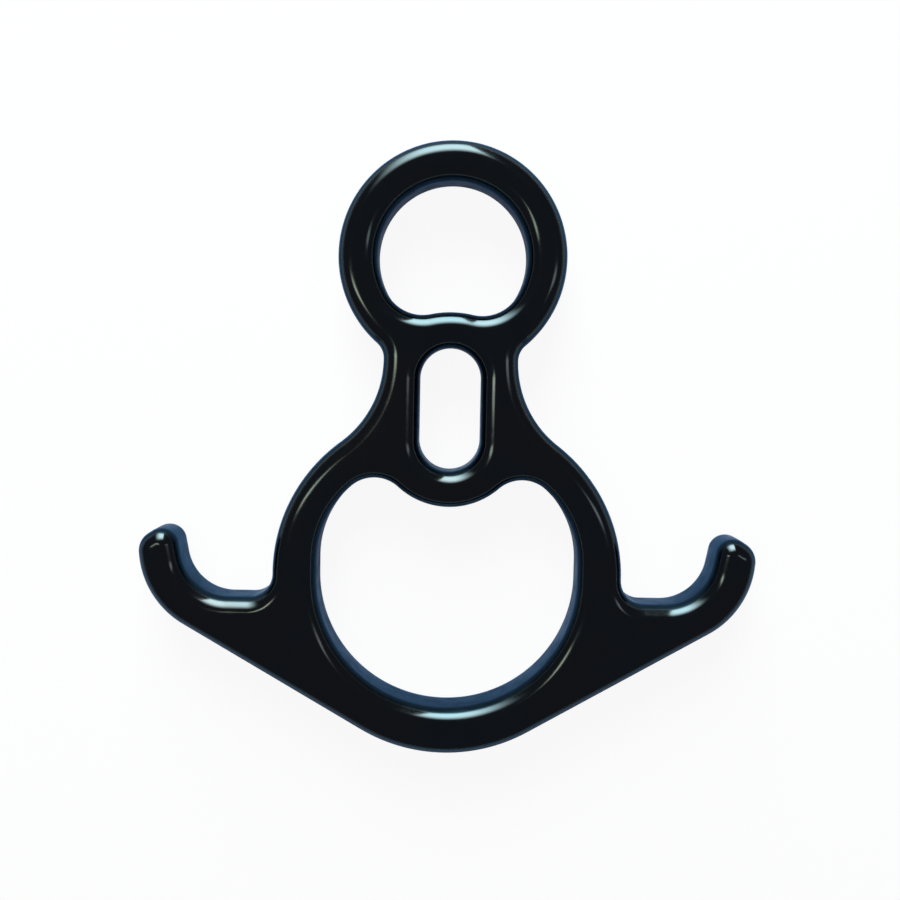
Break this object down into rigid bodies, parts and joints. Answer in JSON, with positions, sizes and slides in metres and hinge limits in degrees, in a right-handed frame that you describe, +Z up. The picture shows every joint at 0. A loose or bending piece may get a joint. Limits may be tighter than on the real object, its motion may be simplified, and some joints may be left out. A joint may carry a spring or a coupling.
{
  "type": "figure eight descender",
  "caption": "Rescue figure eight descender: small ring, slotted neck, large ring and two upturned ears, forged in one and coated gloss black.",
  "frame": {"origin": "under the middle of the outline, on the flat face that the body lies on", "axes": "+X from ear to ear, +Y from the large ring to the small ring, +Z up through the thickness, out of the front face"},
  "size_m": [0.155, 0.153, 0.015],
  "materials": {
    "black_coating": "gloss"
  },
  "bodies": {
    "root": {"descender_body": "black_coating"}
  },
  "joints": []
}
